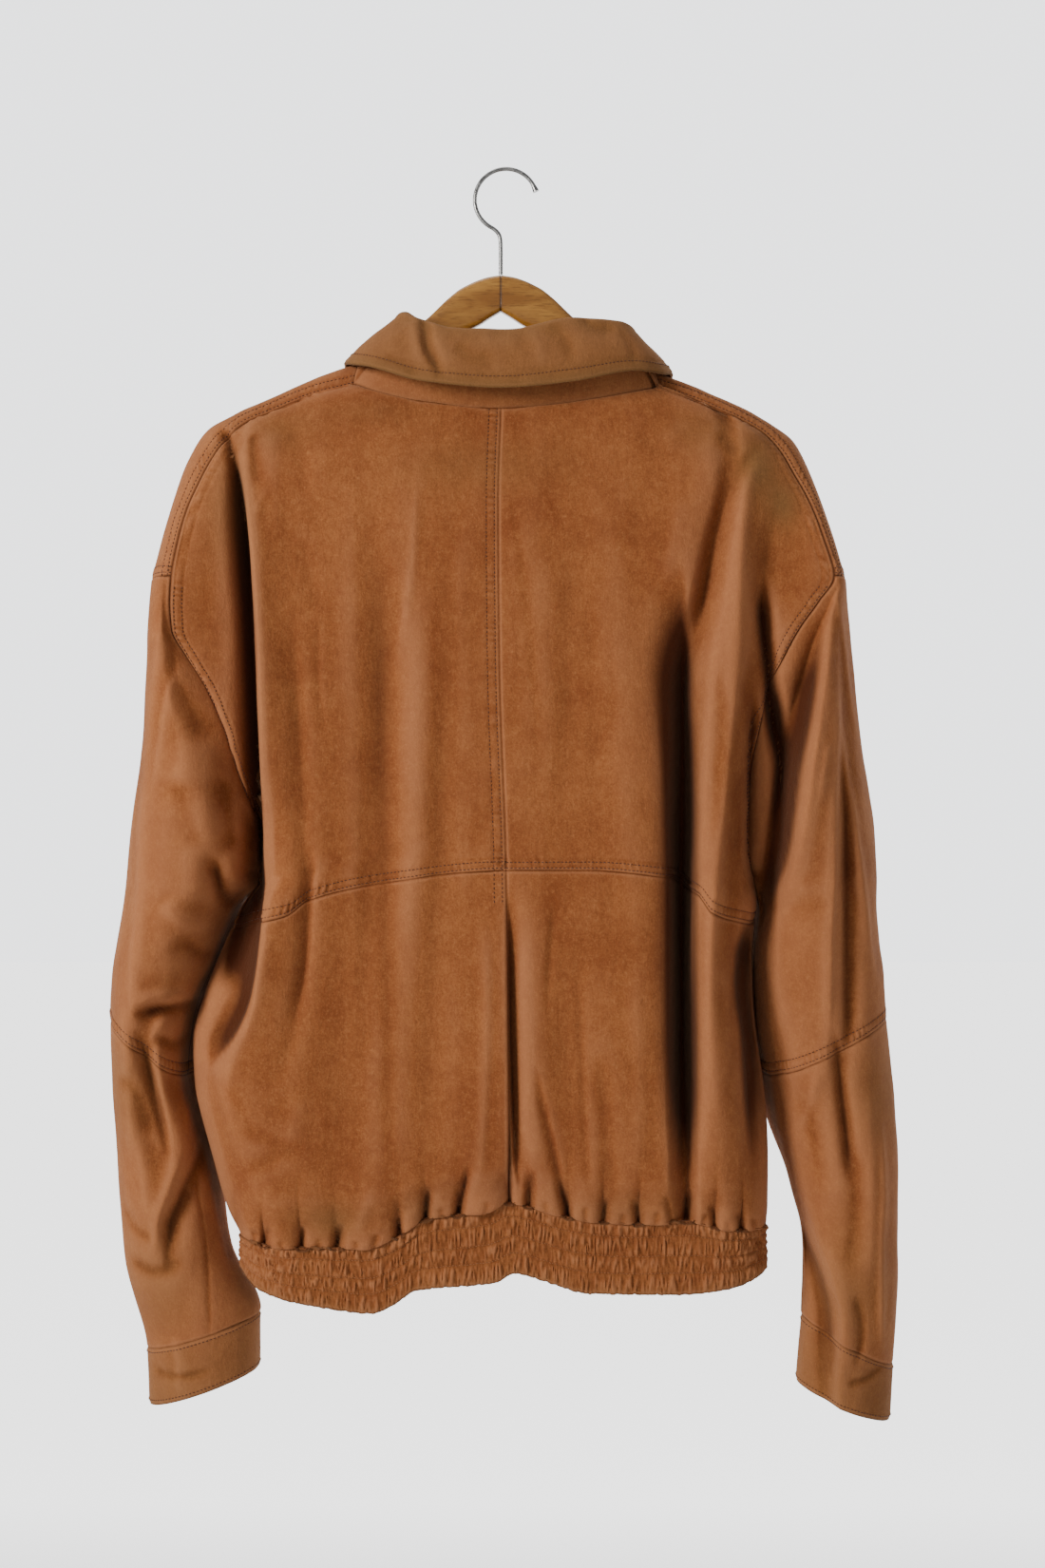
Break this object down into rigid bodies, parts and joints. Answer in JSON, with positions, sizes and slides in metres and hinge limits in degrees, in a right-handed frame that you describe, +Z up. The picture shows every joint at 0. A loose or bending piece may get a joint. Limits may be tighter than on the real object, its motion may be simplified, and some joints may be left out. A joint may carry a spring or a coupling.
{
  "type": "suede jacket on a wooden hanger",
  "caption": "Hip-length suede blouson with turned-down collar, dropped shoulders and ruched waistband, hanging by the wire hook of a two-piece wooden hanger.",
  "frame": {"origin": "the point inside the top of the hanger's hook that bears on whatever holds it", "axes": "+Z up, +Y out of the jacket's front, -Y out of its back, +X towards the wearer's right sleeve"},
  "size_m": [0.604, 0.1341, 0.9599],
  "materials": {
    "suede": "matt napped suede",
    "hanger_wood": "varnished",
    "hook_steel": "dull plated wire",
    "button": "satin, dark brown"
  },
  "bodies": {
    "root": {"back_lower_left": "suede", "back_lower_right": "suede", "back_upper_left": "suede", "back_upper_right": "suede", "collar_fall": "suede", "collar_stand": "suede", "cuff_button_left": "button", "cuff_button_right": "button", "cuff_left": "suede", "cuff_right": "suede", "front_button_1": "button", "front_button_2": "button", "front_button_3": "button", "front_button_4": "button", "front_button_5": "button", "front_button_6": "button", "front_left": "suede", "front_right": "suede", "hanger_hook": "hook_steel", "hanger_left": "hanger_wood", "hanger_right": "hanger_wood", "shoulder_strip_left": "suede", "shoulder_strip_right": "suede", "sleeve_lower_left": "suede", "sleeve_lower_right": "suede", "sleeve_upper_left": "suede", "sleeve_upper_right": "suede", "waistband_back": "suede", "waistband_front_left": "suede", "waistband_front_right": "suede"}
  },
  "joints": []
}
